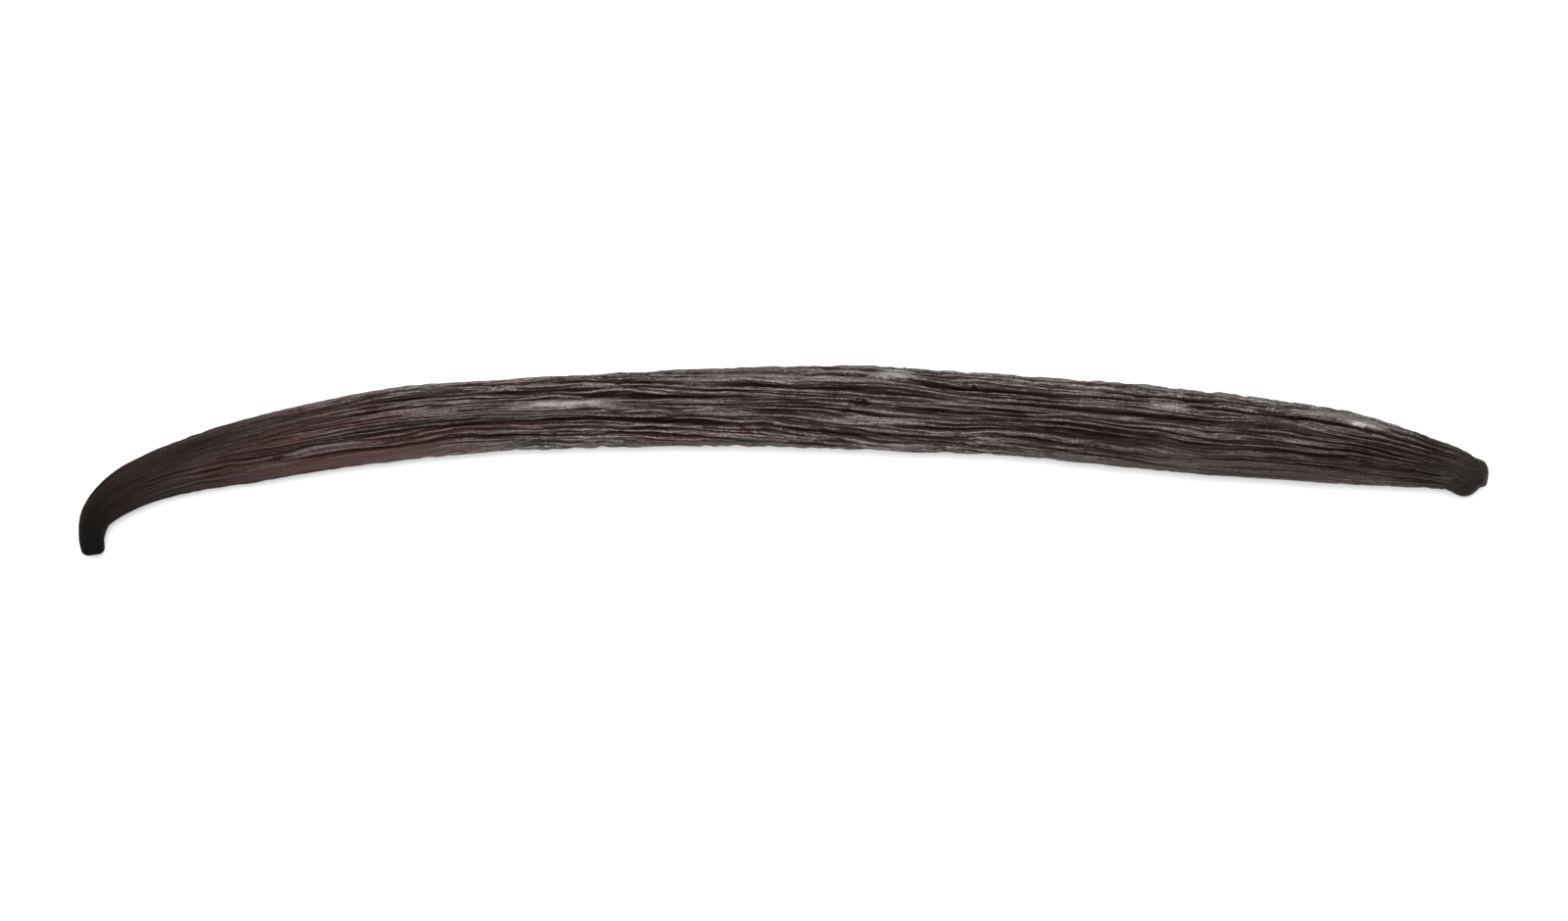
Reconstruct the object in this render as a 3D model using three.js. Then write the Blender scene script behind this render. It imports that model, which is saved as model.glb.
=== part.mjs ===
// A cured vanilla pod lying on its flat side: one long, flattened, leathery capsule, bowed in plan,
// with a crooked stem end at -X, a blunt blossom end at +X and shrunken lengthwise folds all round.
// Millimetres, +Z up, the table at Z = 0, the origin under the middle of the pod's box.
import * as THREE from "three";

// ---- Driving dimensions ----

// The pod's line from the stem end to the blossom end. x and y place it in plan, halfWidth and
// halfHeight are its section, and underside is how high the section's lowest point would lie
// above the table (below zero, the pod is pressed flat there).
const STATIONS = [
  { x: -83.65, y: -10.85, halfWidth: 1.4, halfHeight: 1.25, underside: 0.55 },
  { x: -83.8, y: -9.2, halfWidth: 1.42, halfHeight: 1.3, underside: 0.5 },
  { x: -83.1, y: -6.7, halfWidth: 1.9, halfHeight: 1.5, underside: 0.5 },
  { x: -80.4, y: -4.2, halfWidth: 2.5, halfHeight: 1.8, underside: 0.45 },
  { x: -76.1, y: -2.1, halfWidth: 2.85, halfHeight: 2.05, underside: 0.3 },
  { x: -71.4, y: -0.6, halfWidth: 3.2, halfHeight: 2.25, underside: 0.15 },
  { x: -65.3, y: 0.8, halfWidth: 3.78, halfHeight: 2.5, underside: 0.0 },
  { x: -57.0, y: 2.6, halfWidth: 4.12, halfHeight: 2.7, underside: -0.2 },
  { x: -46.1, y: 4.4, halfWidth: 4.42, halfHeight: 2.85, underside: -0.35 },
  { x: -35.4, y: 5.3, halfWidth: 4.25, halfHeight: 2.8, underside: -0.3 },
  { x: -23.0, y: 5.95, halfWidth: 4.45, halfHeight: 2.9, underside: -0.15 },
  { x: -9.4, y: 6.4, halfWidth: 4.62, halfHeight: 2.95, underside: 0.0 },
  { x: 2.4, y: 6.5, halfWidth: 4.9, halfHeight: 2.9, underside: 0.0 },
  { x: 11.8, y: 6.3, halfWidth: 5.1, halfHeight: 2.95, underside: -0.1 },
  { x: 21.4, y: 5.75, halfWidth: 4.84, halfHeight: 3.0, underside: -0.2 },
  { x: 31.9, y: 4.95, halfWidth: 4.86, halfHeight: 3.0, underside: -0.25 },
  { x: 42.4, y: 4.0, halfWidth: 5.12, halfHeight: 3.05, underside: -0.25 },
  { x: 51.9, y: 2.95, halfWidth: 5.0, halfHeight: 3.0, underside: -0.25 },
  { x: 60.0, y: 2.2, halfWidth: 4.8, halfHeight: 2.9, underside: -0.2 },
  { x: 67.6, y: 1.25, halfWidth: 4.36, halfHeight: 2.7, underside: -0.05 },
  { x: 73.4, y: 0.3, halfWidth: 3.72, halfHeight: 2.45, underside: 0.05 },
  { x: 78.0, y: -0.65, halfWidth: 3.02, halfHeight: 2.2, underside: 0.15 },
  { x: 80.3, y: -1.15, halfWidth: 2.52, halfHeight: 2.0, underside: 0.2 },
  { x: 81.4, y: -1.75, halfWidth: 2.42, halfHeight: 1.95, underside: 0.2 },
  { x: 82.4, y: -2.25, halfWidth: 2.55, halfHeight: 2.05, underside: 0.12 },
  { x: 83.3, y: -2.5, halfWidth: 2.42, halfHeight: 2.0, underside: 0.15 },
];

// The closed ends: reach is how far a ring stands out past the end station, and share is its
// share of that station's section. Each list runs from the rim to the middle of the scar.
const STEM_CUT = [
  { reach: 0.27, share: 0.93 },
  { reach: 0.55, share: 0.76 },
  { reach: 0.72, share: 0.5 },
  { reach: 0.68, share: 0.25 },
];
const BLOSSOM_SCAR = [
  { reach: 0.5, share: 0.94 },
  { reach: 0.95, share: 0.79 },
  { reach: 1.22, share: 0.6 },
  { reach: 1.25, share: 0.42 },
  { reach: 1.15, share: 0.2 },
];
const SCAR_LEAN = 0.35; // how far the blossom end's face leans back, mm per mm of height
const SCAR_SLANT = 0.4; // and how far its inner half slants back, mm per mm across
const SCAR_LEAN_LENGTH = 4; // over this last stretch of the pod

// Families of creases that run lengthwise side by side. lines is how many lie round the pod, depth
// how deep they are, width how wide as a share of their spacing, and length how long one runs
// before it fades. A crease wanders by so many lines over its wanderLength.
const FOLD_FAMILIES = [
  { lines: 14, depth: 0.32, width: 0.2, length: 30, wander: 0.7, wanderLength: 32, seed: 11 },
  { lines: 27, depth: 0.5, width: 0.26, length: 18, wander: 0.9, wanderLength: 19, seed: 12 },
];
const FOLD_ROUNDNESS = 0.3; // share of a crease's depth that rounds the ridges beside it
const FOLD_STRENGTH = { usual: 0.6, range: 1.3 }; // how deep each crease is where it runs
const FOLD_DRIFTS = [
  { cells: 6, length: 26, turns: 0.03, seed: 3 },
  { cells: 11, length: 8, turns: 0.013, seed: 5 },
]; // how all the creases sway together
const FOLD_TWIST = { turns: 0.12, from: 50, to: 115 }; // how they wind round to the inner edge
const FOLD_VIGOUR = { cells: 7, length: 11, seed: 20, usual: 0.9, range: 0.6 }; // deep or shallow
const FOLD_DEEPENING = [
  { from: -9, to: -8, share: 0.16 },
  { from: 3, to: 24, share: 0.74 },
  { from: 42, to: 75, share: 0.1 },
  { from: 167, to: 172, share: -0.85 },
]; // share of the depth gained along the pod; the stem and the knob are nearly smooth
const SWELLS = [
  { cells: 9, length: 16, height: 0.08, seed: 31 },
  { cells: 22, length: 5, height: 0.06, seed: 32 },
]; // gentle swells under the creases
const SKIN_FULLNESS = 0.2; // how far the skin between the creases stands out of the plain section
const LOBES = 3; // the fruit's three valves still show in its section
const LOBE_SIZE = 0.03; // share of the radius
const LOBE_WINDING = 30; // mm along the pod for a radian of their winding
const SECTION_SPREAD = 0.13; // evens out the spacing of turns round the flattened section

// Single long creases. from and to are distances along the pod, and its turn goes from turnFrom to
// turnTo: 0 is the outer edge of the bow, 0.25 the top and 0.5 the inner edge.
const FURROWS = [
  { from: 24, to: 60, turnFrom: 0.1, turnTo: 0.09, depth: 0.32, width: 0.4 },
  { from: 27, to: 45, turnFrom: 0.192, turnTo: 0.208, depth: 0.24, width: 0.35 },
  { from: 28, to: 50, turnFrom: 0.247, turnTo: 0.232, depth: 0.24, width: 0.35 },
  { from: 18, to: 37, turnFrom: 0.283, turnTo: 0.296, depth: 0.2, width: 0.35 },
  { from: 38, to: 64, turnFrom: 0.374, turnTo: 0.384, depth: 0.2, width: 0.35 },
  { from: 56, to: 96, turnFrom: 0.165, turnTo: 0.222, depth: 0.34, width: 0.4 },
  { from: 58, to: 92, turnFrom: 0.245, turnTo: 0.28, depth: 0.24, width: 0.35 },
  { from: 58, to: 92, turnFrom: 0.292, turnTo: 0.348, depth: 0.2, width: 0.35 },
  { from: 80, to: 96, turnFrom: 0.133, turnTo: 0.147, depth: 0.22, width: 0.35 },
  { from: 64, to: 114, turnFrom: 0.352, turnTo: 0.435, depth: 0.26, width: 0.4 },
  { from: 96, to: 136, turnFrom: 0.24, turnTo: 0.285, depth: 0.3, width: 0.35 },
  { from: 112, to: 137, turnFrom: 0.215, turnTo: 0.236, depth: 0.2, width: 0.35 },
  { from: 112, to: 146, turnFrom: 0.168, turnTo: 0.212, depth: 0.28, width: 0.35 },
  { from: 117, to: 136, turnFrom: 0.298, turnTo: 0.315, depth: 0.3, width: 0.35 },
  { from: 138, to: 164, turnFrom: 0.112, turnTo: 0.112, depth: 0.4, width: 0.35 },
  { from: 145, to: 168, turnFrom: 0.245, turnTo: 0.205, depth: 0.28, width: 0.4 },
  { from: 143, to: 165, turnFrom: 0.35, turnTo: 0.335, depth: 0.2, width: 0.4 },
  { from: 30, to: 150, turnFrom: 0.62, turnTo: 0.64, depth: 0.35, width: 0.6 },
  { from: 40, to: 130, turnFrom: 0.87, turnTo: 0.85, depth: 0.35, width: 0.6 },
];
const FURROW_ENDS = 8; // mm over which a furrow fades at each end
const FURROW_DRIFT = 0.4; // share of the creases' sway that furrows follow

// Places on the skin: at, turn, and the half-lengths along and round the pod.
const SMOOTH_PATCHES = [
  { at: 36, turn: 0.435, along: 16, round: 0.9, ease: 0.9 },
  { at: 64, turn: 0.206, along: 7, round: 0.55, ease: 0.8 },
  { at: 84, turn: 0.085, along: 9, round: 1.0, ease: 0.4 },
  { at: 102, turn: 0.085, along: 3, round: 0.7, ease: 0.9 },
  { at: 102, turn: 0.32, along: 6, round: 0.5, ease: 0.7 },
  { at: 135.5, turn: 0.138, along: 2.6, round: 0.6, ease: 1.0 },
  { at: 157, turn: 0.07, along: 5, round: 0.6, ease: 0.9 },
  { at: 150, turn: 0.41, along: 16, round: 0.9, ease: 0.6 },
  { at: 146, turn: 0.49, along: 28, round: 1.5, ease: 0.7 },
]; // where it stayed smooth
const SMOOTH_DEPTH = 0.3; // how far it is drawn in there
const DENTS = [
  { at: 149.5, turn: 0.2, along: 4.0, round: 0.9, depth: 0.45 },
  { at: 124, turn: 0.33, along: 5.0, round: 0.6, depth: 0.2 },
]; // hollows pressed in

const SIDES = 84; // points round each section
const TOP_CROWDING = 0.25; // radians by which they are drawn towards the top
const UNDERSIDE_TURN = 0.75; // turns past here are counted back from the middle of the underside
const BODY_RINGS = 60; // sections between the two ends
const RING_CROWDING = 0.08; // share of the pod by which they are drawn towards both ends
const TANGENT_STEP = 0.25; // mm either side of a point, to find which way the spine runs
const SKIN_COLOUR = "#3b2a27";

// ---- Curves along the pod ----

const TURN = 2 * Math.PI;
const clamp01 = (value) => Math.min(1, Math.max(0, value));
const smoothStep = (low, high, value) => {
  const t = clamp01((value - low) / (high - low));
  return t * t * (3 - 2 * t);
};

// Distance along the pod to each station.
const stationDistance = STATIONS.map(() => 0);
for (let i = 1; i < STATIONS.length; i++) {
  const step = Math.hypot(STATIONS[i].x - STATIONS[i - 1].x, STATIONS[i].y - STATIONS[i - 1].y);
  stationDistance[i] = stationDistance[i - 1] + step;
}
const podLength = stationDistance.at(-1);

// A smooth curve through one of the stations' values, as a cubic in each gap between stations.
function curveOf(key) {
  const last = STATIONS.length - 1;
  const slope = STATIONS.map((_, i) => {
    const before = Math.max(0, i - 1);
    const after = Math.min(last, i + 1);
    return (STATIONS[after][key] - STATIONS[before][key])
      / (stationDistance[after] - stationDistance[before]);
  });
  return (distance) => {
    let i = 0;
    while (i < last - 1 && distance > stationDistance[i + 1]) i++;
    const gap = stationDistance[i + 1] - stationDistance[i];
    const t = (distance - stationDistance[i]) / gap;
    const from = STATIONS[i][key];
    const to = STATIONS[i + 1][key];
    if (t < 0) return from + slope[i] * gap * t;
    if (t > 1) return to + slope[i + 1] * gap * (t - 1);
    const t2 = t * t;
    const t3 = t2 * t;
    return (2 * t3 - 3 * t2 + 1) * from + (t3 - 2 * t2 + t) * gap * slope[i]
      + (3 * t2 - 2 * t3) * to + (t3 - t2) * gap * slope[i + 1];
  };
}
const spineX = curveOf("x");
const spineY = curveOf("y");
const halfWidthAt = curveOf("halfWidth");
const halfHeightAt = curveOf("halfHeight");
const undersideAt = curveOf("underside");

// ---- The wrinkled skin ----

// A repeatable direction for one crossing of the noise's grid, in turns.
function gridTurn(column, row, seed) {
  const value = Math.sin(column * 127.1 + row * 311.7 + seed * 74.7) * 43758.5453;
  return value - Math.floor(value);
}

// Gradient noise from about -1 to 1 that closes on itself after the given number of columns.
function skinNoise(across, along, columns, seed) {
  const column = Math.floor(across);
  const row = Math.floor(along);
  const u = across - column;
  const v = along - row;
  const corner = (i, j) => {
    const wrapped = (((column + i) % columns) + columns) % columns;
    const angle = TURN * gridTurn(wrapped, row + j, seed);
    return Math.cos(angle) * (u - i) + Math.sin(angle) * (v - j);
  };
  const fadeU = u * u * u * (u * (u * 6 - 15) + 10);
  const fadeV = v * v * v * (v * (v * 6 - 15) + 10);
  const near = corner(0, 0) * (1 - fadeU) + corner(1, 0) * fadeU;
  const far = corner(0, 1) * (1 - fadeU) + corner(1, 1) * fadeU;
  return near * (1 - fadeV) + far * fadeV;
}

// How strongly a place on the skin is felt, from 1 in its middle to 0 outside it.
function patchAt(patch, power, distance, turn, girth) {
  const away = turn - patch.turn;
  const along = Math.abs((distance - patch.at) / patch.along);
  const round = Math.abs(((away - Math.round(away)) * girth) / patch.round);
  return Math.exp(-(along ** power) - round ** power);
}

// How far one family of creases draws the skin in, in mm.
function familyDepth(family, distance, wound) {
  const { lines, depth, width, length, wander, wanderLength, seed } = family;
  const cells = Math.floor(lines / 2);
  const phase = wound * lines + wander * skinNoise(wound * cells, distance / wanderLength, cells, seed);
  const line = Math.round(phase);
  const swing = skinNoise(line + 0.37, distance / length + line * 0.31, lines, seed + 20)
    + 0.5 * skinNoise(line + 0.61, (distance * 2.3) / length, lines, seed + 21);
  const strength = clamp01(FOLD_STRENGTH.usual + FOLD_STRENGTH.range * swing);
  const off = Math.abs(phase - line);
  const cut = Math.exp(-((off / width) ** 1.4));
  return depth * strength * (cut + FOLD_ROUNDNESS * ((1 - 2 * off) ** 2 - cut));
}

// How far a furrow draws the skin in, in mm.
function furrowDepth(furrow, distance, turn, drift, girth) {
  const { from, to, turnFrom, turnTo, depth, width } = furrow;
  const along = clamp01((distance - from) / (to - from));
  const away = turn - turnFrom - (turnTo - turnFrom) * along - FURROW_DRIFT * drift;
  const offset = Math.abs(((away - Math.round(away)) * girth) / width);
  const ends = smoothStep(from, from + FURROW_ENDS, distance)
    * (1 - smoothStep(to - FURROW_ENDS, to, distance));
  return depth * ends * Math.exp(-(offset ** 1.5));
}

// How far the skin is drawn in at a place, in mm.
function skinDepth(distance, turn, girth) {
  const noiseOf = ({ cells, length, seed }, across) =>
    skinNoise(across * cells, distance / length, cells, seed);
  const drift = FOLD_DRIFTS.reduce((sum, sway) => sum + sway.turns * noiseOf(sway, turn), 0);
  const wound = turn + drift - FOLD_TWIST.turns * smoothStep(FOLD_TWIST.from, FOLD_TWIST.to, distance);
  const vigour = FOLD_VIGOUR.usual + FOLD_VIGOUR.range * noiseOf(FOLD_VIGOUR, turn);
  let depth = 0;
  for (const family of FOLD_FAMILIES) {
    depth += vigour * familyDepth(family, distance, wound);
  }
  for (const furrow of FURROWS) {
    depth += furrowDepth(furrow, distance, turn, drift, girth);
  }
  const smooth = Math.max(...SMOOTH_PATCHES.map((patch) =>
    patch.ease * patchAt(patch, 4, distance, turn, girth)));
  depth += smooth * (SMOOTH_DEPTH - depth);
  depth *= FOLD_DEEPENING.reduce((sum, part) =>
    sum + part.share * smoothStep(part.from, part.to, distance), 0);
  for (const swell of SWELLS) {
    depth -= swell.height * noiseOf(swell, wound);
  }
  for (const dent of DENTS) {
    depth += dent.depth * patchAt(dent, 2, distance, turn, girth);
  }
  return depth;
}

// ---- The pod's surface ----

const tallest = Math.max(...STATIONS.map((station) => station.halfHeight));

// The point of the skin at a distance along the pod and a turn round it. share draws the whole
// section in towards the spine, and reach moves it out past the pod's end.
function skinPoint(distance, turn, share, reach) {
  const tangent = new THREE.Vector2(
    spineX(distance + TANGENT_STEP) - spineX(distance - TANGENT_STEP),
    spineY(distance + TANGENT_STEP) - spineY(distance - TANGENT_STEP),
  ).normalize();
  const side = new THREE.Vector2(-tangent.y, tangent.x); // towards the outside of the bow
  const halfWidth = halfWidthAt(distance);
  const halfHeight = halfHeightAt(distance);
  const girth = Math.PI * (halfWidth + halfHeight);
  const inward = Math.sign(reach) * (1 - share) * halfWidth; // the creases run on over the ends

  const angle = TURN * turn + SECTION_SPREAD * Math.sin(2 * TURN * turn);
  const lobe = 1 + LOBE_SIZE * Math.cos(LOBES * angle + distance / LOBE_WINDING);
  const outward = new THREE.Vector2(Math.cos(angle) / halfWidth, Math.sin(angle) / halfHeight).normalize();
  const slender = halfHeight / tallest;
  const drawnIn = slender * (skinDepth(distance + inward, turn, girth) - SKIN_FULLNESS);
  const across = share * (halfWidth * lobe * Math.cos(angle) - drawnIn * outward.x);
  const up = share * (halfHeight * lobe * Math.sin(angle) - drawnIn * outward.y);

  const nearScar = smoothStep(podLength - SCAR_LEAN_LENGTH, podLength, distance);
  const forward = reach - nearScar * (SCAR_LEAN * up + SCAR_SLANT * Math.max(0, -across));
  return new THREE.Vector3(
    spineX(distance) + tangent.x * forward + side.x * across,
    spineY(distance) + tangent.y * forward + side.y * across,
    Math.max(0, undersideAt(distance) + halfHeight + up),
  );
}

// Where each ring of points lies, from the middle of the blossom scar to the middle of the stem cut.
function ringList() {
  const scar = BLOSSOM_SCAR.map((ring) => ({ ...ring, distance: podLength })).reverse();
  const cut = STEM_CUT.map((ring) => ({ share: ring.share, reach: -ring.reach, distance: 0 }));
  const body = [];
  for (let i = BODY_RINGS; i >= 0; i--) {
    const step = i / BODY_RINGS;
    const crowded = step - RING_CROWDING * Math.sin(TURN * step);
    body.push({ share: 1, reach: 0, distance: podLength * crowded });
  }
  return [{ ...scar[0], share: 0 }, ...scar, ...body, ...cut, { ...cut.at(-1), share: 0 }];
}

function podGeometry() {
  const rings = ringList();
  const geometry = new THREE.SphereGeometry(1, SIDES, rings.length - 1);
  const position = geometry.attributes.position;
  rings.forEach(({ distance, share, reach }, ring) => {
    for (let i = 0; i <= SIDES; i++) {
      const step = (i % SIDES) / SIDES;
      const crowded = step + (TOP_CROWDING * Math.cos(TURN * step)) / TURN;
      const turn = crowded > UNDERSIDE_TURN ? crowded - 1 : crowded;
      const point = skinPoint(distance, turn, share, reach);
      position.setXYZ(ring * (SIDES + 1) + i, point.x, point.y, point.z);
    }
  });
  geometry.computeBoundingBox();
  const middle = geometry.boundingBox.getCenter(new THREE.Vector3());
  geometry.translate(-middle.x, -middle.y, 0);
  geometry.computeVertexNormals();
  return geometry;
}

const skin = new THREE.MeshStandardMaterial({ color: SKIN_COLOUR, roughness: 0.45, metalness: 0 });
const pod = new THREE.Mesh(podGeometry(), skin);
pod.name = "vanilla_pod";

const part = new THREE.Group();
part.add(pod);

export default part;
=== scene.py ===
import math

import bpy
import numpy as np
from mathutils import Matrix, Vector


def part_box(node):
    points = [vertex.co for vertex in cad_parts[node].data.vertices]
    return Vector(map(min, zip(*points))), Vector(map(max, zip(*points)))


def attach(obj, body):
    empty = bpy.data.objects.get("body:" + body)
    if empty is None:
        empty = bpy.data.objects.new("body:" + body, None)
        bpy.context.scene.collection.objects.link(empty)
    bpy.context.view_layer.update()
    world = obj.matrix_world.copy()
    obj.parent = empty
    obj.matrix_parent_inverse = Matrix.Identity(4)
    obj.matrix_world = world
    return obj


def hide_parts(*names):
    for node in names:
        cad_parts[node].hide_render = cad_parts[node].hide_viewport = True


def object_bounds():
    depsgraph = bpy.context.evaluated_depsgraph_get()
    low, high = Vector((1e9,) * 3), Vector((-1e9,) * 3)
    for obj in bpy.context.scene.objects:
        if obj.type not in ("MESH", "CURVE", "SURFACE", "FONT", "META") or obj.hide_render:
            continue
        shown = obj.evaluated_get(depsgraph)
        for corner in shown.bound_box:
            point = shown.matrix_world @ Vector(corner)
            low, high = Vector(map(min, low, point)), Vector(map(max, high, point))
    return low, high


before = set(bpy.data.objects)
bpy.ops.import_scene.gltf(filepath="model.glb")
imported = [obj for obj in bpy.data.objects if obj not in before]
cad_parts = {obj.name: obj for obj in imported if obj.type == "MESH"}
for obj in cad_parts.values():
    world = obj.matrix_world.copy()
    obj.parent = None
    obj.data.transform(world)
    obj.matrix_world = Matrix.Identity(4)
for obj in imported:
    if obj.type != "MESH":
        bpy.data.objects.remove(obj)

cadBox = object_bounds()
mm = 0.001

# A cured vanilla pod. It is modelled straight along X, wrinkled, and then bent along its spine.
# Stations run from the stem end to the blossom end: x, y, half width, half height, underside,
# all in mm. underside is how high the section's lowest point would lie (below zero it is pressed flat).
pod = {
    "stations": [
        (-83.65, -10.85, 1.40, 1.25, 0.55),
        (-83.8, -9.2, 1.42, 1.3, 0.5),
        (-83.1, -6.7, 1.9, 1.5, 0.5),
        (-80.4, -4.2, 2.5, 1.8, 0.45),
        (-76.1, -2.1, 2.85, 2.05, 0.3),
        (-71.4, -0.6, 3.2, 2.25, 0.15),
        (-65.3, 0.8, 3.78, 2.5, 0.0),
        (-57.0, 2.6, 4.12, 2.7, -0.2),
        (-46.1, 4.4, 4.42, 2.85, -0.35),
        (-35.4, 5.3, 4.25, 2.8, -0.3),
        (-23.0, 5.95, 4.45, 2.9, -0.15),
        (-9.4, 6.4, 4.62, 2.95, 0.0),
        (2.4, 6.5, 4.9, 2.9, 0.0),
        (11.8, 6.3, 5.1, 2.95, -0.1),
        (21.4, 5.75, 4.84, 3.0, -0.2),
        (31.9, 4.95, 4.86, 3.0, -0.25),
        (42.4, 4.0, 5.12, 3.05, -0.25),
        (51.9, 2.95, 5.0, 3.0, -0.25),
        (60.0, 2.2, 4.8, 2.9, -0.2),
        (67.6, 1.25, 4.36, 2.7, -0.05),
        (73.4, 0.3, 3.72, 2.45, 0.05),
        (78.0, -0.65, 3.02, 2.2, 0.15),
        (80.3, -1.15, 2.52, 2.0, 0.2),
        (81.4, -1.75, 2.42, 1.95, 0.2),
        (82.4, -2.25, 2.55, 2.05, 0.12),
        (83.3, -2.5, 2.42, 2.0, 0.15),
    ],
    # rings of the closed ends: how far past the end (mm), and their share of its section
    "stemCut": [(0.68, 0.25), (0.72, 0.5), (0.55, 0.76), (0.27, 0.93)],
    "blossomScar": [(0.5, 0.94), (0.95, 0.79), (1.22, 0.6), (1.25, 0.42), (1.15, 0.2)],
    "scarLean": 0.35,  # the scar's face leans back, mm per mm of height
    "scarLeanLength": 4,  # mm over which the pod comes to lean so
    "scarSlant": 0.32,  # its inner half slants back, mm per mm across
    "scarNotch": (0.35, 0.8, 0.5),  # behind a step: from, to (mm across), depth
    "scarFrom": (171.6, 174.0),  # mm along the pod where the scar's torn skin begins
    "sides": 32,
    "rings": 39,
    "spinePoints": 400,
    "subdivisions": 3,
    "ringCrowding": 0.08,  # rings stand closer together near both ends
    "topCrowding": 0.25,  # and points closer together on the top
    "rodRadius": 4,
}

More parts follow.
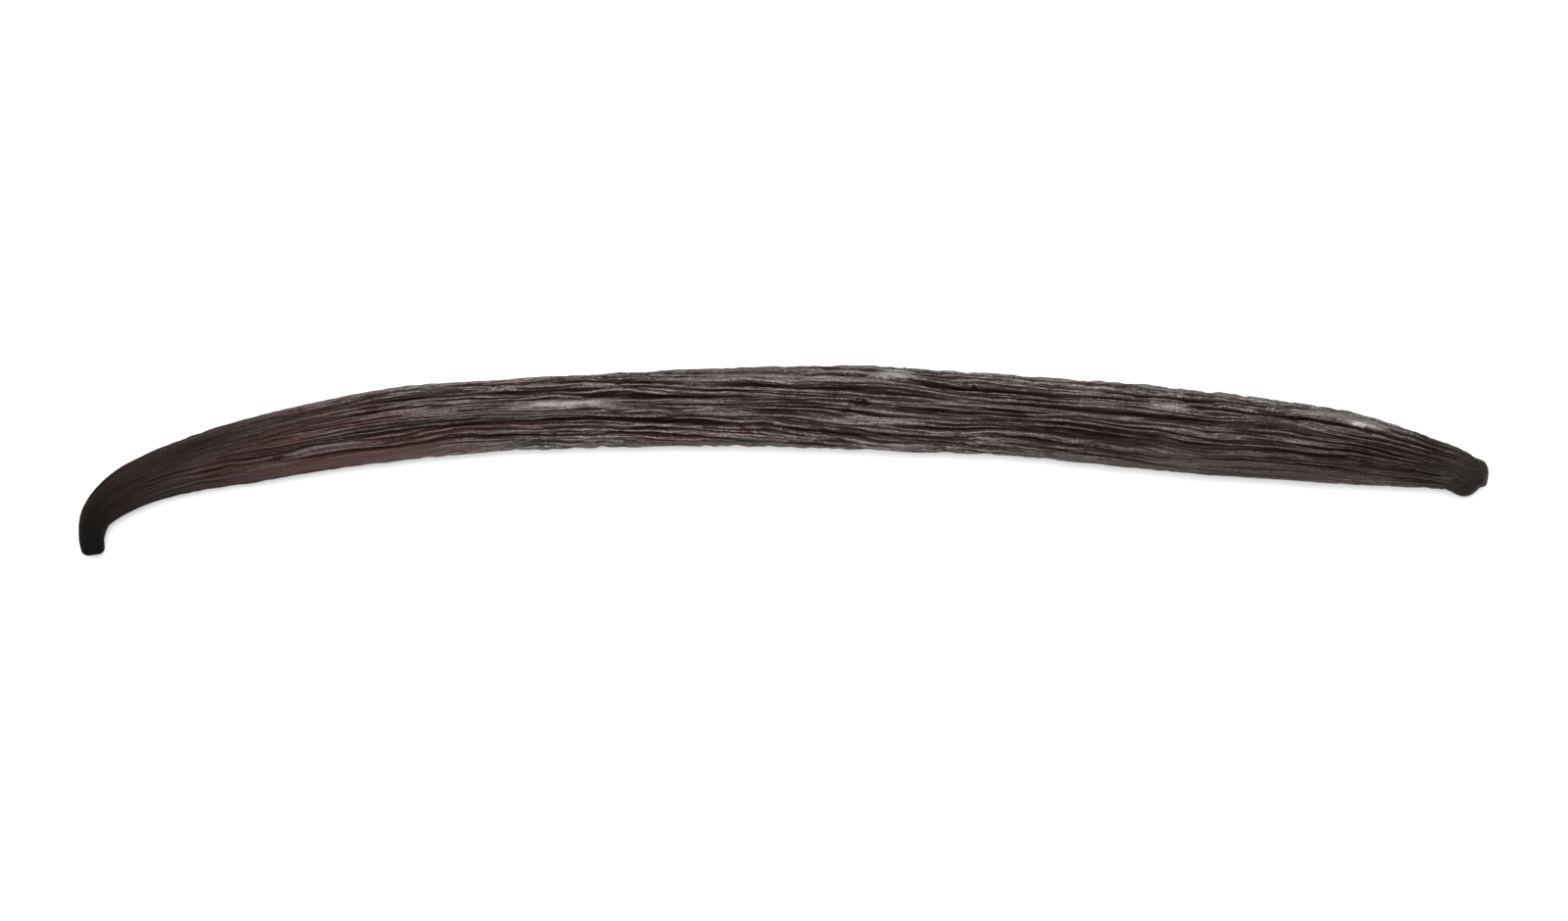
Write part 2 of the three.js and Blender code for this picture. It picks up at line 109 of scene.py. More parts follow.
folds = {
    # families of long creases: lines round the pod, depth (mm), width (share of their spacing),
    # length before a line fades (mm), how far it wanders (lines) and over what length, seed
    "families": [
        (14, 0.32, 0.12, 30, 0.7, 32, 11),
        (27, 0.66, 0.15, 18, 0.9, 19, 12),
        (48, 0.52, 0.19, 9, 1.0, 9, 13),
    ],
    "strength": (0.6, 1.3),  # how deep each line is where it runs: usual, range
    # how that changes along it: place between two columns of noise, shift for each line, times
    # finer, share, added to the seed
    "swings": [(0.37, 0.31, 1, 1, 20), (0.61, 0, 2.3, 0.5, 21)],
    "creaseEdge": 1.4,  # how sharply a crease ends at its sides
    "roundness": 0.30,  # share of a crease's depth that rounds the ridges beside it
    # short forked creases between them: cells round the pod, length, depth, seed
    "forks": [(24, 3.8, 0.25, 41), (42, 2.1, 0.15, 42)],
    "forkWidth": 0.3,
    "forkEdge": 1.5,
    "forkedFrom": (20, 90),  # mm along the pod
    "forkedBefore": 0.6,  # share of their depth before
    # how the folds wander: cells, length, turns, seed
    "drifts": [(6, 26, 0.03, 3), (11, 8, 0.013, 5), (23, 3.4, 0.007, 6)],
    "twist": 0.12,  # turns by which they wind round towards the inner edge
    "twistSpan": (50, 115),
    "vigour": (7, 11, 0.9, 0.6, 20),  # where they are deep: cells, length, usual, range, seed
    "deepening": [  # from, to, share of the depth
        (-9, -8, 0.16),
        (3, 24, 0.74),
        (42, 75, 0.10),
        (167, 172, -0.85),
    ],
    # swells under the folds: cells, length, height, seed
    "swells": [(9, 16, 0.08, 31), (22, 4, 0.09, 32), (30, 1.8, 0.04, 33)],
    "fullness": 0.2,  # how far the skin stands out between the creases
    "shadeFullDepth": 0.79,  # a crease this deep is painted in full crease shade
    "lobes": 3,  # the section is faintly lobed
    "lobeSize": 0.03,
    "lobeLength": 30,  # mm along the pod in which they turn by one radian
    "spread": 0.13,  # evens out the spacing of turns round the flattened section
    "spreadSteps": 6,
    # single long creases: from, to, turn at from, turn at to, depth, width
    "furrows": [
        (24, 60, 0.100, 0.090, 0.32, 0.35),
        (27, 45, 0.192, 0.208, 0.24, 0.30),
        (28, 50, 0.247, 0.232, 0.24, 0.30),
        (18, 37, 0.283, 0.296, 0.20, 0.30),
        (38, 64, 0.374, 0.384, 0.20, 0.30),
        (56, 96, 0.165, 0.222, 0.34, 0.34),
        (58, 92, 0.245, 0.280, 0.24, 0.28),
        (58, 92, 0.292, 0.348, 0.20, 0.26),
        (80, 96, 0.133, 0.147, 0.22, 0.35),
        (64, 114, 0.352, 0.435, 0.26, 0.40),
        (96, 136, 0.240, 0.285, 0.30, 0.30),
        (112, 137, 0.215, 0.236, 0.20, 0.26),
        (112, 146, 0.168, 0.212, 0.28, 0.32),
        (117, 136, 0.298, 0.315, 0.30, 0.32),
        (138, 164, 0.112, 0.112, 0.40, 0.32),
        (145, 168, 0.245, 0.205, 0.28, 0.40),
        (143, 165, 0.350, 0.335, 0.20, 0.40),
        (30, 150, 0.620, 0.640, 0.35, 0.60),
        (40, 130, 0.870, 0.850, 0.35, 0.60),
    ],
    "furrowEnds": 8,  # mm in which they fade
    "furrowEdge": 1.5,
    "furrowDrift": 0.4,  # share of the folds' wandering that they follow
    # stretches where the skin stayed smooth: at, turn, half-length, half-width (mm), share
    "smooth": [
        (36, 0.435, 16, 0.9, 0.9),
        (64, 0.206, 7, 0.55, 0.8),
        (84, 0.085, 9, 1.0, 0.4),
        (102, 0.085, 3, 0.7, 0.9),
        (102, 0.320, 6, 0.5, 0.7),
        (135.5, 0.138, 2.6, 0.6, 1.0),
        (157, 0.070, 5, 0.6, 0.9),
        (150, 0.410, 16, 0.9, 0.6),
        (146, 0.490, 28, 1.5, 0.7),
    ],
    "smoothDepth": 0.3,  # how far such skin is drawn in
    "smoothEdge": 4,  # how sharply it ends
    # where the brown turns red, in the same way
    "blush": [
        (36, 0.420, 16, 1.5, 1.0),
        (80, 0.450, 14, 0.8, 0.9),
        (30, 0.210, 16, 2.2, 0.35),
        (52, 0.330, 12, 1.2, 0.5),
    ],
    # painted highlights: where the oily skin's sheen is painted nearly white into its colour
    "paintedHighlight": [
        (63, 0.206, 6.5, 0.45, 0.85),
        (80, 0.100, 6, 0.6, 0.35),
        (98, 0.100, 2.5, 0.5, 0.7),
        (103, 0.085, 2.5, 0.6, 0.8),
        (102, 0.320, 4, 0.4, 0.5),
        (135.5, 0.138, 2.0, 0.7, 0.5),
        (151.5, 0.085, 4.5, 0.5, 0.6),
        (151, 0.240, 2.2, 0.9, 0.5),
        (158.5, 0.095, 2.4, 0.42, 1.0),
    ],
    # where it is dull and grey: partly dull grey skin, partly painted shade
    "dullAndShade": [
        (148, 0.400, 32, 3.6, 1.0),
        (158, 0.260, 20, 2.6, 0.6),
        (132, 0.200, 7, 1.3, 0.5),
        (80, 0.040, 18, 1.2, 0.6),
        (20, 0.090, 10, 1.6, 0.9),
    ],
    # where it shines more
    "sheen": [
        (71, 0.255, 10, 2.0, 1.0),
        (77, 0.300, 12, 5.0, 0.6),
        (87, 0.350, 9, 2.6, 0.7),
        (117, 0.250, 10, 1.6, 1.0),
        (146, 0.120, 9, 1.4, 1.0),
        (58, 0.250, 8, 1.6, 0.6),
    ],
    # small dark sores where it is rough
    "sore": [
        (98.6, 0.232, 1.3, 0.5, 1.0),
        (97.2, 0.275, 0.8, 0.35, 0.8),
        (28, 0.335, 1.1, 0.4, 0.9),
        (40, 0.165, 0.9, 0.3, 0.8),
        (112, 0.130, 0.7, 0.35, 0.8),
        (146, 0.225, 0.9, 0.4, 0.8),
    ],
    "patchEdge": 2,
    "knobFrom": (166, 171),  # mm along the pod where the knob's bumps begin
    "knobBumps": [(13, 0.9, 0.24, 51), (27, 0.5, 0.10, 52)],  # cells round, length, height, seed
    # hollows pressed in: at, turn, half-length, half-width (mm), depth
    "dents": [
        (149.5, 0.200, 4.0, 0.9, 0.45),
        (124, 0.330, 5.0, 0.6, 0.2),
        (2.4, 0.000, 0.6, 0.6, -0.1),
    ],
}

radiansPerTurn = 2 * math.pi
noiseHash = {"column": 127.1, "row": 311.7, "seed": 74.7, "scale": 43758.5453}


def smoothStep(low, high, value):
    # 0 below low, 1 above high and smooth between
    t = np.clip((value - low) / (high - low), 0, 1)
    return t * t * (3 - 2 * t)


# curves along the pod

stations = np.array(pod["stations"])
stationGaps = np.hypot(np.diff(stations[:, 0]), np.diff(stations[:, 1]))
stationDistance = np.concatenate([[0], np.cumsum(stationGaps)])
podLength = stationDistance[-1]


def curveOf(values):
    # a smooth curve through the stations' values: a cubic in each gap
    last = len(values) - 1
    before = np.maximum(np.arange(last + 1) - 1, 0)
    after = np.minimum(np.arange(last + 1) + 1, last)
    slope = (values[after] - values[before]) / (stationDistance[after] - stationDistance[before])

    def at(distance):
        distance = np.asarray(distance, float)
        inside = np.clip(distance, 0, podLength)
        i = np.clip(np.searchsorted(stationDistance, inside) - 1, 0, last - 1)
        gap = stationDistance[i + 1] - stationDistance[i]
        t = (inside - stationDistance[i]) / gap
        t2 = t * t
        t3 = t2 * t
        value = ((2 * t3 - 3 * t2 + 1) * values[i] + (t3 - 2 * t2 + t) * gap * slope[i]
                 + (3 * t2 - 2 * t3) * values[i + 1] + (t3 - t2) * gap * slope[i + 1])
        past = distance - inside
        return value + past * np.where(past < 0, slope[0], slope[last])

    return at


spineX, spineY, halfWidthAt, halfHeightAt, undersideAt = [curveOf(column) for column in stations.T]

# the wrinkled skin


def skinNoise(across, along, columns, seed):
    # gradient noise from about -1 to 1 that closes on itself round the pod
    column, row = np.floor(across), np.floor(along)
    u, v = across - column, along - row

    def fade(t):
        return t * t * t * (t * (t * 6 - 15) + 10)

    def corner(i, j):
        # the slope at a corner of the cell points a way that looks random but is always the same
        wrapped = np.mod(column + i, columns)
        value = wrapped * noiseHash["column"] + (row + j) * noiseHash["row"] + seed * noiseHash["seed"]
        value = np.sin(value) * noiseHash["scale"]
        angle = radiansPerTurn * (value - np.floor(value))
        return np.cos(angle) * (u - i) + np.sin(angle) * (v - j)

    near = corner(0, 0) * (1 - fade(u)) + corner(1, 0) * fade(u)
    far = corner(0, 1) * (1 - fade(u)) + corner(1, 1) * fade(u)
    return near * (1 - fade(v)) + far * fade(v)


def patch(distance, turn, girth, at, atTurn, along, across, edge):
    # 1 in the middle of an oval patch of skin, falling to 0 outside it
    off = turn - atTurn
    off = (off - np.round(off)) * girth / across
    return np.exp(-np.abs((distance - at) / along) ** edge - np.abs(off) ** edge)


def patches(places, distance, turn, girth, edge):
    shares = [share * patch(distance, turn, girth, *place, edge) for *place, share in places]
    return np.max(shares, 0)


def creaseFamily(distance, wound, lines, familyDepth, width, length, wander, wanderLength, seed):
    # long creases side by side, each one fading in and out on its own: how far they draw the skin in,
    # the count of lines passed (whole on a crease) and how strong the nearest one is
    cells = lines // 2
    phase = wound * lines + wander * skinNoise(wound * cells, distance / wanderLength, cells, seed)
    line = np.round(phase)
    # each line has its own column of the noise, read once coarsely and once finer
    swing = sum(share * skinNoise(line + at, distance * finer / length + line * shift, lines, seed + more)
                for at, shift, finer, share, more in folds["swings"])
    usual, reach = folds["strength"]
    strength = np.clip(usual + reach * swing, 0, 1)
    off = np.abs(phase - line)
    cut = np.exp(-(off / width) ** folds["creaseEdge"])
    drawnIn = familyDepth * strength * (cut + folds["roundness"] * ((1 - 2 * off) ** 2 - cut))
    return drawnIn, phase, strength


def forkDepth(distance, wound):
    before = folds["forkedBefore"]
    depth = 0
    for cells, length, deepest, seed in folds["forks"]:
        swell = np.abs(skinNoise(wound * cells, distance / length, cells, seed))
        depth += deepest * (1 - np.minimum(1, swell / folds["forkWidth"])) ** folds["forkEdge"]
    return depth * (before + (1 - before) * smoothStep(*folds["forkedFrom"], distance))


def furrowDepth(distance, turn, girth, drift):
    ease = folds["furrowEnds"]
    depth = 0
    for start, end, turnFrom, turnTo, deepest, width in folds["furrows"]:
        along = np.clip((distance - start) / (end - start), 0, 1)
        off = turn - (turnFrom + (turnTo - turnFrom) * along + folds["furrowDrift"] * drift)
        off = (off - np.round(off)) * girth / width
        ends = smoothStep(start, start + ease, distance) * (1 - smoothStep(end - ease, end, distance))
        depth += deepest * ends * np.exp(-np.abs(off) ** folds["furrowEdge"])
    return depth


def swellHeight(distance, turn, wound, girth):
    # what stands out or is pressed in apart from the creases: swells, the knob's bumps and dents
    height = sum(rise * skinNoise(wound * cells, distance / length, cells, seed)
                 for cells, length, rise, seed in folds["swells"])
    knob = smoothStep(*folds["knobFrom"], distance)
    for cells, length, rise, seed in folds["knobBumps"]:
        height += rise * knob * skinNoise(turn * cells, distance / length, cells, seed)
    for *place, dentDepth in folds["dents"]:
        height -= dentDepth * patch(distance, turn, girth, *place, folds["patchEdge"])
    return height


def foldFields(distance, turn, girth):
    # how far the skin is drawn in (mm), how deep in a crease each point is (0 to 1),
    # how smooth it stayed, its wound turn, and each family's lines and their strength
    drift = sum(turns * skinNoise(turn * cells, distance / length, cells, seed)
                for cells, length, turns, seed in folds["drifts"])
    wound = turn + drift - folds["twist"] * smoothStep(*folds["twistSpan"], distance)
    cells, length, usual, reach, seed = folds["vigour"]
    vigour = usual + reach * skinNoise(turn * cells, distance / length, cells, seed)
    families = [creaseFamily(distance, wound, *family) for family in folds["families"]]
    depth = vigour * (sum(drawnIn for drawnIn, _, _ in families) + forkDepth(distance, wound))
    depth += furrowDepth(distance, turn, girth, drift)
    smooth = patches(folds["smooth"], distance, turn, girth, folds["smoothEdge"])
    depth += smooth * (folds["smoothDepth"] - depth)
    deepening = sum(share * smoothStep(start, end, distance) for start, end, share in folds["deepening"])
    depth *= deepening
    crease = np.clip(depth / folds["shadeFullDepth"], 0, 1)
    lines = np.stack([phase for _, phase, _ in families], 1)
    strengths = np.stack([strength * vigour * deepening * (1 - smooth) for _, _, strength in families], 1)
    depth -= swellHeight(distance, turn, wound, girth)
    return depth, crease, smooth, wound, lines, strengths


# the pod's mesh


def ringList():
    # (distance, reach past the end, share of the section) from the stem cut to the blossom scar
    steps = np.linspace(0, 1, pod["rings"])
    steps = steps - pod["ringCrowding"] * np.sin(radiansPerTurn * steps)
    return ([(0, -reach, share) for reach, share in pod["stemCut"]]
            + [(podLength * step, 0, 1) for step in steps]
            + [(podLength, reach, share) for reach, share in pod["blossomScar"]])


def selectOnly(piece):
    bpy.ops.object.select_all(action="DESELECT")
    piece.select_set(True)
    bpy.context.view_layer.objects.active = piece


def modelBlank():
    # a smooth straight pod: one face drawn out along X, ring by ring
    def ringPlace(ring):
        distance, reach, share = ring
        height = float(undersideAt(distance) + halfHeightAt(distance))
        size = (share * float(halfWidthAt(distance)), share * float(halfHeightAt(distance)))
        return (distance + reach) * mm, height * mm, size

    rings = [ringPlace(ring) for ring in ringList()]
    x, z, size = rings[0]
    bpy.ops.mesh.primitive_circle_add(vertices=pod["sides"], radius=mm, fill_type="NGON",
                                      location=(x, 0, z), rotation=(0, math.pi / 2, 0))
    blank = bpy.context.object
    blank.name = "vanillaPod"
    bpy.ops.object.transform_apply(location=True, rotation=True, scale=True)
    bpy.ops.object.mode_set(mode="EDIT")
    bpy.ops.mesh.select_all(action="SELECT")
    bpy.ops.transform.resize(value=(1, size[0], size[1]), center_override=(x, 0, z))
    for nextX, nextZ, nextSize in rings[1:]:
        bpy.ops.mesh.extrude_region_move(TRANSFORM_OT_translate={"value": (nextX - x, 0, nextZ - z)})
        grow = (1, nextSize[0] / size[0], nextSize[1] / size[1])
        bpy.ops.transform.resize(value=grow, center_override=(nextX, 0, nextZ))
        x, z, size = nextX, nextZ, nextSize
    bpy.ops.mesh.select_all(action="SELECT")
    bpy.ops.mesh.normals_make_consistent(inside=False)
    bpy.ops.object.mode_set(mode="OBJECT")
    return blank


def applyModifier(piece, kind, **settings):
    selectOnly(piece)
    modifier = piece.modifiers.new(kind.lower(), kind)
    for name, value in settings.items():
        setattr(modifier, name, value)
    bpy.ops.object.modifier_apply(modifier=modifier.name)


def turnOf(angle):
    # the even turn round the section for an angle of its ellipse, closed in on step by step
    turn = angle / radiansPerTurn
    for _ in range(folds["spreadSteps"]):
        turn = (angle - folds["spread"] * np.sin(2 * radiansPerTurn * turn)) / radiansPerTurn
    return np.where(turn < -0.25, turn + 1, turn)  # counted from the middle of the underside


def noteOnMesh(mesh, name, values):
    # keeps a number or a vector for each point, for the material to read
    kind, field = ("FLOAT", "value") if values.ndim == 1 else ("FLOAT_VECTOR", "vector")
    noted = mesh.attributes.new(name, kind, "POINT")
    noted.data.foreach_set(field, values.astype(np.float32).ravel())


def wrinkle(blank):
    # draws the skin in along its folds, presses the underside flat and notes what the skin is like, with
    # where shade and highlights are painted on it
    mesh = blank.data
    places = np.empty(len(mesh.vertices) * 3)
    mesh.vertices.foreach_get("co", places)
    x, y, z = places.reshape(-1, 3).T / mm
    distance = np.clip(x, 0, podLength)
    halfWidth, halfHeight = halfWidthAt(distance), halfHeightAt(distance)
    middle = undersideAt(distance) + halfHeight
    acrossShare, upShare = y / halfWidth, (z - middle) / halfHeight
    share = np.hypot(acrossShare, upShare)
    angle = np.arctan2(upShare, acrossShare)
    angle = angle + pod["topCrowding"] * np.cos(angle)
    turn = turnOf(angle)
    girth = math.pi * (halfWidth + halfHeight)
    inward = (1 - np.minimum(share, 1)) * halfWidth  # how far a point lies in from the rim of an end's face
    along = distance + np.where(x > podLength / 2, inward, -inward)
    depth, crease, smooth, wound, lines, strengths = foldFields(along, turn, girth)

    outY, outZ = np.cos(angle) / halfWidth, np.sin(angle) / halfHeight  # the way out of the section
    slender = halfHeight / stations[:, 3].max()  # folds are shallower where the pod is thin
    drawnIn = share * slender * (depth - folds["fullness"]) / np.hypot(outY, outZ)
    lobe = 1 + folds["lobeSize"] * np.cos(folds["lobes"] * angle + distance / folds["lobeLength"])
    y = share * halfWidth * np.cos(angle) * lobe - drawnIn * outY
    up = share * halfHeight * np.sin(angle) * lobe - drawnIn * outZ
    nearScar = smoothStep(podLength - pod["scarLeanLength"], podLength, distance)
    notchFrom, notchTo, notchDepth = pod["scarNotch"]
    slant = pod["scarSlant"] * np.maximum(0, -y) + notchDepth * smoothStep(notchFrom, notchTo, -y)
    x = x - nearScar * (pod["scarLean"] * up + slant)
    z = np.maximum(0, middle + up)
    mesh.vertices.foreach_set("co", (np.stack([x, y, z], 1) * mm).ravel())

    # the skin laid on a plain rod, so that its pattern winds as its folds do
    rod = pod["rodRadius"] * share
    onRod = np.stack([x, rod * np.cos(radiansPerTurn * wound), rod * np.sin(radiansPerTurn * wound)], 1)
    notes = {"skinPlace": onRod, "foldLines": lines, "foldStrength": strengths,
             "crease": crease, "smoothSkin": smooth, "scar": smoothStep(*pod["scarFrom"], along)}
    for name in ("blush", "dullAndShade", "paintedHighlight", "sheen", "sore"):
        notes[name] = patches(folds[name], distance, turn, girth, folds["patchEdge"])
    for name, values in notes.items():
        noteOnMesh(mesh, name, values)
    mesh.update()


def bend(piece):
    # bends the straight pod along its spine
    data = bpy.data.curves.new("spine", "CURVE")
    data.dimensions = "3D"
    data.twist_mode = "Z_UP"
    spline = data.splines.new("POLY")
    distances = np.linspace(0, podLength, pod["spinePoints"])
    spline.points.add(len(distances) - 1)
    for point, distance in zip(spline.points, distances):
        point.co = (float(spineX(distance)) * mm, float(spineY(distance)) * mm, 0, 1)
    spine = bpy.data.objects.new("spine", data)
    bpy.context.scene.collection.objects.link(spine)
    applyModifier(piece, "CURVE", object=spine, deform_axis="POS_X")
    bpy.data.objects.remove(spine)


def seatInBox(piece, low, high):
    # puts the piece's middle over the box's middle, on the table
    places = np.empty(len(piece.data.vertices) * 3)
    piece.data.vertices.foreach_get("co", places)
    places = places.reshape(-1, 3)
    for axis in (0, 1):
        middle = (places[:, axis].min() + places[:, axis].max()) / 2
        places[:, axis] += (low[axis] + high[axis]) / 2 - middle
    piece.data.vertices.foreach_set("co", places.ravel())
    piece.data.update()


def makePod():
    bpy.ops.object.select_all(action="DESELECT")
    piece = modelBlank()
    print("pod: blank modelled,", len(piece.data.polygons), "faces")
    applyModifier(piece, "SUBSURF", levels=pod["subdivisions"], render_levels=pod["subdivisions"])
    wrinkle(piece)
    bend(piece)
    seatInBox(piece, *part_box("vanilla_pod"))
    selectOnly(piece)
    bpy.ops.object.shade_smooth()
    triangles = sum(len(face.vertices) - 2 for face in piece.data.polygons)
    print("pod: wrinkled and bent,", triangles, "triangles")
    return piece


class Wire:
    # one output of a node, so that masks and mixes can be written as plain sums
    def __init__(self, kit, socket):
        self.kit = kit
        self.socket = socket

    def __add__(self, other):
        return self.kit.maths("ADD", self, other)

    def __radd__(self, other):
        return self.kit.maths("ADD", other, self)

    def __sub__(self, other):
        return self.kit.maths("SUBTRACT", self, other)

    def __rsub__(self, other):
        return self.kit.maths("SUBTRACT", other, self)

    def __mul__(self, other):
        return self.kit.maths("MULTIPLY", self, other)

    def __rmul__(self, other):
        return self.kit.maths("MULTIPLY", other, self)


class MaterialKit:
    # builds one material's nodes
    def __init__(self, name):
        self.material = bpy.data.materials.new(name)
        self.material.use_nodes = True
        self.tree = self.material.node_tree
        self.tree.nodes.clear()

    def add(self, kind, settings=None, sockets=None, output=0):
        # a node of any kind: its settings first, then its sockets' values or links
        node = self.tree.nodes.new(kind)
        for name, value in (settings or {}).items():
            setattr(node, name, value)
        for name, value in (sockets or {}).items():
            if isinstance(value, Wire):
                self.tree.links.new(value.socket, node.inputs[name])
            else:
                node.inputs[name].default_value = value
        return Wire(self, node.outputs[output]) if node.outputs else None

    def maths(self, operation, first, second):
        return self.add("ShaderNodeMath", {"operation": operation}, {0: first, 1: second})

    def larger(self, first, second):
        return self.maths("MAXIMUM", first, second)

    def mix(self, factor, first, second):
        # a mix of two colours
        first = first if isinstance(first, Wire) else (*first, 1)
        second = second if isinstance(second, Wire) else (*second, 1)
        return self.add("ShaderNodeMix", {"data_type": "RGBA"}, {0: factor, 6: first, 7: second}, 2)

    def step(self, value, start, full, cover=1):
        # 0 up to start, the cover from full on and smooth between; start may be the higher one
        return self.add("ShaderNodeMapRange", {"interpolation_type": "SMOOTHSTEP"},
                        {"Value": value, "From Min": start, "From Max": full, "To Max": cover})

    def attribute(self, name, output="Fac"):
        return self.add("ShaderNodeAttribute", {"attribute_name": name}, output=output)

    def scaled(self, vector, scale):
        return self.add("ShaderNodeVectorMath", {"operation": "MULTIPLY"}, {0: vector, 1: scale})

    def part(self, vector, axis):
        return self.add("ShaderNodeSeparateXYZ", None, {"Vector": vector}, axis)

    def noise(self, place, lengthwise, around, detail, roughness=0.5):
        # a soft pattern, so many cells per mm along the pod and round it
        vector = self.scaled(place, (lengthwise, around, around))
        return self.add("ShaderNodeTexNoise", None,
                        {"Vector": vector, "Scale": 1, "Detail": detail, "Roughness": roughness})

    def cut(self, phase, width):
        # 1 where the phase is whole, falling to 0 at the given width from there
        return 1 - self.step(self.maths("PINGPONG", phase, 0.5), 0, width)

    def hairlines(self, place, lines, width, wander, wanderPattern, strengthPattern, limits):
        # thin creases side by side round the skin, 1 on a line and 0 away from it
        turn = self.maths("ARCTAN2", self.part(place, 2), self.part(place, 1)) * (1 / radiansPerTurn)
        phase = turn * lines + wander * self.noise(place, *wanderPattern)
        strength = self.step(self.noise(place, *strengthPattern), *limits)
        return strength * self.cut(phase, width)

    def specks(self, place, cells, size, picked):
        # small round specks scattered over the skin, a few of the cells having one
        sockets = {"Vector": place, "Scale": cells}
        near = self.add("ShaderNodeTexVoronoi", None, sockets, "Distance")
        pick = self.part(self.add("ShaderNodeTexVoronoi", None, sockets, "Color"), 0)
        return (1 - self.step(near, *size)) * self.step(pick, *picked)

    def finish(self, shader):
        self.add("ShaderNodeOutputMaterial", None, {"Surface": shader})
        return self.material


podSkin = {
    "brown": (0.034, 0.0180, 0.0150),
    "redBrown": (0.055, 0.024, 0.0190),
    "blushColour": (0.072, 0.028, 0.0220),
    # dull grey skin, partly painted shade
    "dullAndShadeColour": (0.018, 0.0135, 0.0122),
    "greyBrown": (0.060, 0.046, 0.043),
    # painted shade of the creases and crack lines; the real dark sores share this colour
    "creaseShadeAndSoreColour": (0.0105, 0.0060, 0.0055),
    "endColour": (0.0038, 0.0036, 0.0028),
    "speckColour": (0.22, 0.085, 0.035),
    # painted highlight and painted glint colours, standing in for the sheen of the oily skin
    "paintedHighlightColour": (0.185, 0.165, 0.16),
    "paintedGlintColour": (0.43, 0.41, 0.40),
    "scarColour": (0.021, 0.0095, 0.0075),
    # patterns: cells per mm along the pod and round it, detail, roughness
    "patterns": {
        "grain": (2.0, 3.2, 3, 0.62),  # short lengthwise streaks
        "mottle": (0.34, 1.3, 5, 0.65),
        "crinkle": (1.7, 0.9, 3, 0.6),  # across the pod
        "blotches": (0.10, 0.4, 3, 0.55),
        "streaks": (0.12, 1.5, 4, 0.6),
    },
    # masks: what they add up and how much of each, the sums at which they begin and are full, and
    # how much they cover then; along is the place along the pod in mm
    "masks": {
        "red": ({"blotches": 1}, 0.45, 0.66, 0.7),
        "redStem": ({"along": 1}, 65, 35, 0.6),
        "blushed": ({"mottle": 1}, 0.3, 0.5, 1),
        "grey": ({"streaks": 1, "grain": 0.5}, 0.71, 0.85, 0.65),
        "greyFar": ({"along": 1}, 55, 130, 0.35),
        # painted shade in the deepest creases
        "creaseShade": ({"crease": 1}, 0.5, 1.0, 1),
        "stem": ({"along": 1, "blotches": 14}, 43, 5, 1),
        "tip": ({"along": 1, "blotches": 6}, 163, 177, 0.75),
        "tipMottle": ({"mottle": 1}, 0.5, 0.62, 0.35),
        # painted highlights and the painted glint
        "paintedHighlight": ({"paintedHighlight": 1, "mottle": 1.1, "grain": 0.5}, 1.1, 1.6, 1),
        "glint": ({"paintedHighlight": 1, "grain": 0.7, "streaks": 0.5}, 1.42, 1.6, 1),
        "torn": ({"crinkle": 1, "mottle": 1}, 0.96, 1.12, 1),
        "rough": ({"sore": 1, "crinkle": 1.8, "grain": 2.2}, 2.45, 2.7, 1),
        "nearSore": ({"sore": 1}, 0.05, 0.4, 1),
        "cracked": ({"along": 1}, 8, 40, 1),
        "knobPlain": ({"along": 1}, 168, 173, 0.9),
        # the oily film lies on the crests of the ridges
        "crest": ({"mottle": 0.5, "grain": 0.4, "streaks": 0.1, "smoothSkin": 0.15,
                   "crease": -0.5, "crinkle": -0.25, "sheen": 0.16}, 0.09, 0.23, 0.85),
        "filmed": ({"along": 1}, 10, 60, 0.85),
        "knobDull": ({"along": 1}, 169, 172, 0.8),
        "coarse": ({"along": 1}, 6, 40, 0.55),
    },
    "relief": {"grain": 0.6, "mottle": 0.5, "crinkle": 0.7, "cracks": -0.5, "rough": -0.6},
    "reliefHeight": 0.00026,
    # hairlines: how many round the pod, their width and wander in lines, the patterns of their wander
    # and of their strength, and where they begin and are full
    "hairlines": (77, 0.16, 3, (0.14, 0.4, 2), (0.13, 1.3, 2), (0.42, 0.62)),
    "hairlineCover": 0.75,
    "cuts": [(0.14, 1), (0.22, 1), (0.30, 0.8)],  # of each family of creases: width in lines, cover
    "cutStrength": (0.05, 0.6),
    # share of the crack lines painted dark as crease shade
    "crackShadeCover": 0.9,
    "crackedSmooth": 0.2,  # share of the cracks that the smooth skin keeps
    # cells per mm, how far a speck is solid and how far it reaches (cells), which cells have one
    "specks": (1.2, (0.048, 0.08), (0.9, 0.92)),
    "dullAndShadeCover": 0.8,
    "roughCover": 0.85,
    "leastFilm": 0.15,
    "filmLoss": 0.85,  # share of the film that blushed skin and the dull, painted-shade patches lack
    "leastRelief": 0.45,
    "matteRoughness": 0.7,
    "matteSpecular": 0.04,
    "filmRoughness": 0.32,
    "filmSpecular": 1.0,
}


def makeCracks(kit, place):
    # lines down the middle of each family's creases, and hairlines between them; they are cut into the
    # relief and painted dark as crease shade
    lines, strengths = kit.attribute("foldLines", "Vector"), kit.attribute("foldStrength", "Vector")
    cracks = podSkin["hairlineCover"] * kit.hairlines(place, *podSkin["hairlines"])
    for family, (width, cover) in enumerate(podSkin["cuts"]):
        strength = kit.step(kit.part(strengths, family), *podSkin["cutStrength"], cover)
        cracks = kit.larger(cracks, strength * kit.cut(kit.part(lines, family), width))
    return cracks


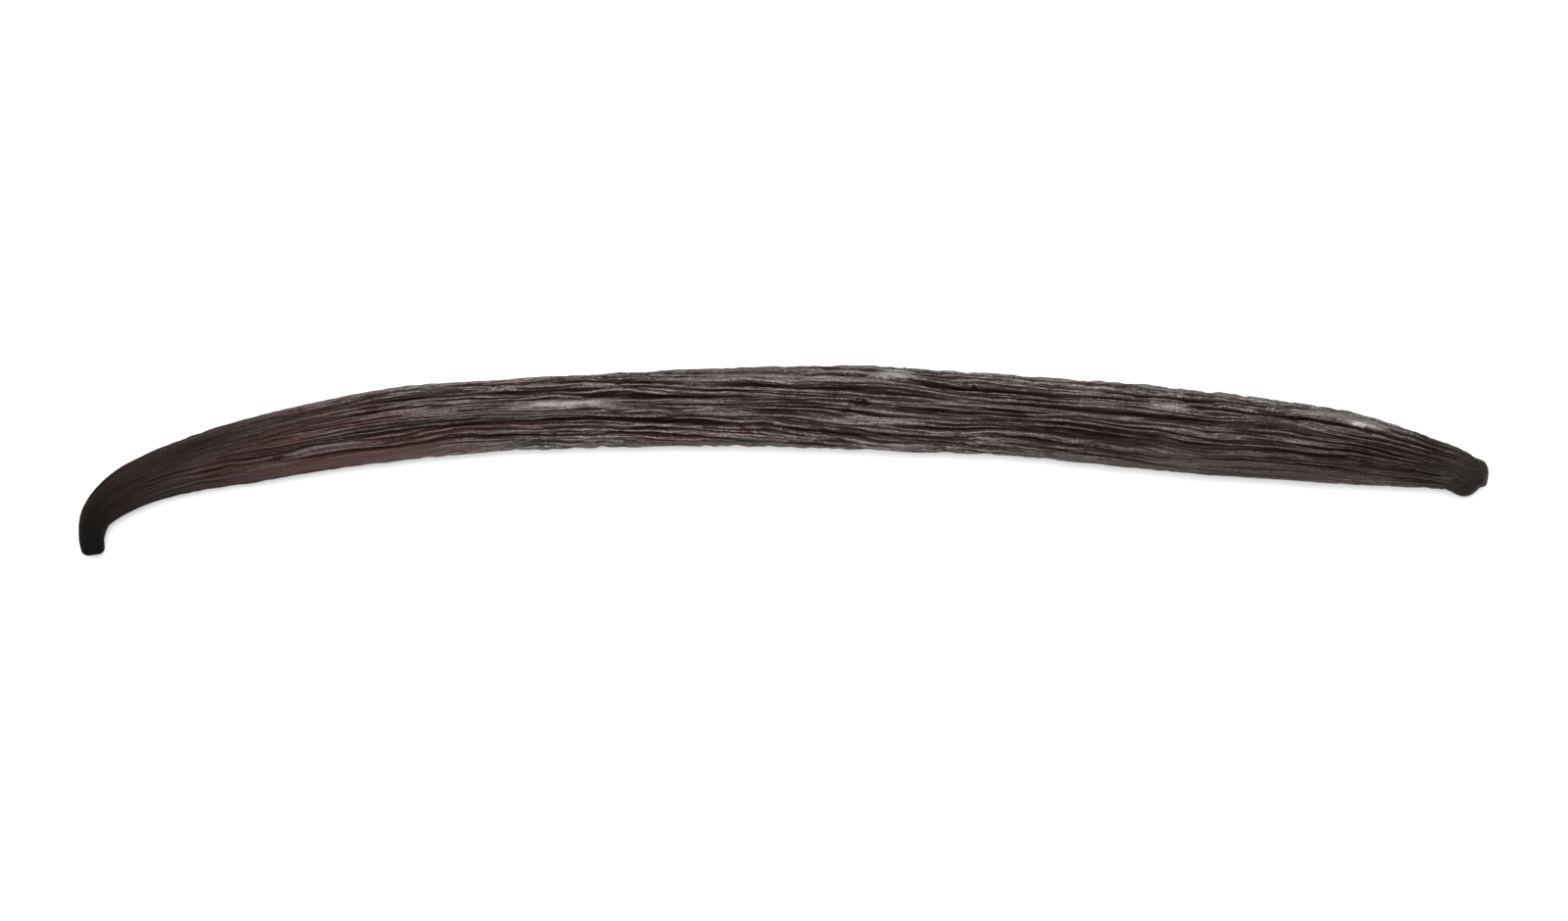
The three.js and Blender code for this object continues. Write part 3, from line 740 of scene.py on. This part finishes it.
def makePodSkin():
    kit = MaterialKit("podSkin")
    place = kit.attribute("skinPlace", "Vector")
    skin = {"along": kit.part(place, 0)}
    for name in ("crease", "smoothSkin", "blush", "dullAndShade", "paintedHighlight", "sheen", "sore", "scar"):
        skin[name] = kit.attribute(name)
    for name, pattern in podSkin["patterns"].items():
        skin[name] = kit.noise(place, *pattern)

    def total(shares):
        first, *others = [skin[name] if share == 1 else share * skin[name]
                          for name, share in shares.items()]
        return sum(others, first)

    def mask(name):
        shares, *limits = podSkin["masks"][name]
        return kit.step(total(shares), *limits)

    keptCracks = 1 - (1 - podSkin["crackedSmooth"]) * skin["smoothSkin"]
    skin["cracks"] = makeCracks(kit, place) * keptCracks * mask("cracked") * (1 - mask("knobPlain"))
    skin["rough"] = mask("rough") * mask("nearSore")
    # painted shade: the deep creases and the crack lines are darkened in the colour
    creaseShade = kit.larger(mask("creaseShade"), podSkin["crackShadeCover"] * skin["cracks"])
    ends = kit.larger(mask("stem"), mask("tip") * (1 - mask("tipMottle")))
    specks = kit.specks(place, *podSkin["specks"])

    colour = kit.mix(kit.larger(mask("red"), mask("redStem")), podSkin["brown"], podSkin["redBrown"])
    layers = [
        (skin["blush"] * mask("blushed"), "blushColour"),
        # dull grey skin and painted shade
        (podSkin["dullAndShadeCover"] * skin["dullAndShade"], "dullAndShadeColour"),
        (kit.larger(mask("grey"), mask("greyFar")), "greyBrown"),
        (creaseShade, "creaseShadeAndSoreColour"),
        (ends, "endColour"),
        (specks, "speckColour"),
        # painted highlights and the painted glint
        (mask("paintedHighlight") * (1 - creaseShade), "paintedHighlightColour"),
        (mask("glint"), "paintedGlintColour"),
        (skin["scar"] * mask("torn"), "scarColour"),
        # the dark sores are real marks, in the same dark colour
        (podSkin["roughCover"] * skin["rough"], "creaseShadeAndSoreColour"),
    ]
    for cover, name in layers:
        colour = kit.mix(cover, colour, podSkin[name])

    film = (podSkin["leastFilm"] + mask("crest")) * (podSkin["leastFilm"] + mask("filmed"))
    lost = [podSkin["filmLoss"] * skin["blush"], podSkin["filmLoss"] * skin["dullAndShade"], mask("knobDull")]
    for cover in [creaseShade, ends, specks, skin["rough"], *lost]:
        film = film * (1 - cover)

    height = total(podSkin["relief"]) * (podSkin["leastRelief"] + mask("coarse"))
    bump = kit.add("ShaderNodeBump", None,
                   {"Strength": 1, "Distance": podSkin["reliefHeight"], "Height": height})
    matte, oily = [kit.add("ShaderNodeBsdfPrincipled", None, {
        "Base Color": colour, "Roughness": podSkin[kind + "Roughness"],
        "Specular IOR Level": podSkin[kind + "Specular"], "Normal": bump,
    }) for kind in ("matte", "film")]
    print("pod: skin made,", len(kit.tree.nodes), "nodes")
    return kit.finish(kit.add("ShaderNodeMixShader", None, {0: film, 1: matte, 2: oily}))


# floor, light and camera
stage = {
    "floorSize": 8,
    "floorColour": (0.9, 0.9, 0.9),
    "floorRoughness": 0.9,
    "floorSpecular": 0.1,
    "floorGlowColour": (1, 1, 1),
    "floorGlow": 0.15,
    "frameWidth": 0.190,  # how much of the table the camera takes in, across
    "lens": 100,
    "skyColour": (1, 1, 1),
    "skyStrength": 0.45,
    # soft lights: place, size, power
    "softBox": ((-0.1, 0.26, 0.72), 0.7, 7.2),
    "overhead": ((0.1, -0.15, 1.1), 1.0, 4.0),
}


def makeFloorPaint():
    kit = MaterialKit("floorPaint")
    shader = kit.add("ShaderNodeBsdfPrincipled", None, {
        "Base Color": (*stage["floorColour"], 1),
        "Roughness": stage["floorRoughness"],
        "Specular IOR Level": stage["floorSpecular"],
        "Emission Color": (*stage["floorGlowColour"], 1),
        "Emission Strength": stage["floorGlow"],
    })
    return kit.finish(shader)


def makeFloor():
    bpy.ops.mesh.primitive_plane_add(size=stage["floorSize"], location=(0, 0, 0))
    floor = bpy.context.object
    floor.name = "floor"
    floor.data.materials.append(makeFloorPaint())


def makeLight(name, place, size, power):
    light = bpy.data.lights.new(name, "AREA")
    light.shape = "DISK"
    light.size = size
    light.energy = power
    lamp = bpy.data.objects.new(name, light)
    bpy.context.scene.collection.objects.link(lamp)
    lamp.location = place
    # turned towards the pod
    lamp.rotation_euler = (-lamp.location).to_track_quat("-Z", "Y").to_euler()
    lamp.visible_camera = False


def makeSky():
    world = bpy.data.worlds.new("sky")
    world.use_nodes = True
    background = world.node_tree.nodes["Background"]
    background.inputs["Color"].default_value = (*stage["skyColour"], 1)
    background.inputs["Strength"].default_value = stage["skyStrength"]
    bpy.context.scene.world = world


def makeCamera():
    # straight above the pod
    low, high = cadBox
    data = bpy.data.cameras.new("camera")
    data.lens = stage["lens"]
    camera = bpy.data.objects.new("camera", data)
    bpy.context.scene.collection.objects.link(camera)
    distance = stage["frameWidth"] * data.lens / data.sensor_width
    camera.location = ((low.x + high.x) / 2, (low.y + high.y) / 2, distance)
    bpy.context.scene.camera = camera


vanillaPod = makePod()
vanillaPod.data.materials.clear()
vanillaPod.data.materials.append(makePodSkin())
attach(vanillaPod, "root")
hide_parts("vanilla_pod")

makeFloor()
makeSky()
makeLight("softBox", *stage["softBox"])
makeLight("overhead", *stage["overhead"])
makeCamera()
bpy.context.scene.view_settings.view_transform = "Standard"
print("stage: floor, sky, lights and camera made")
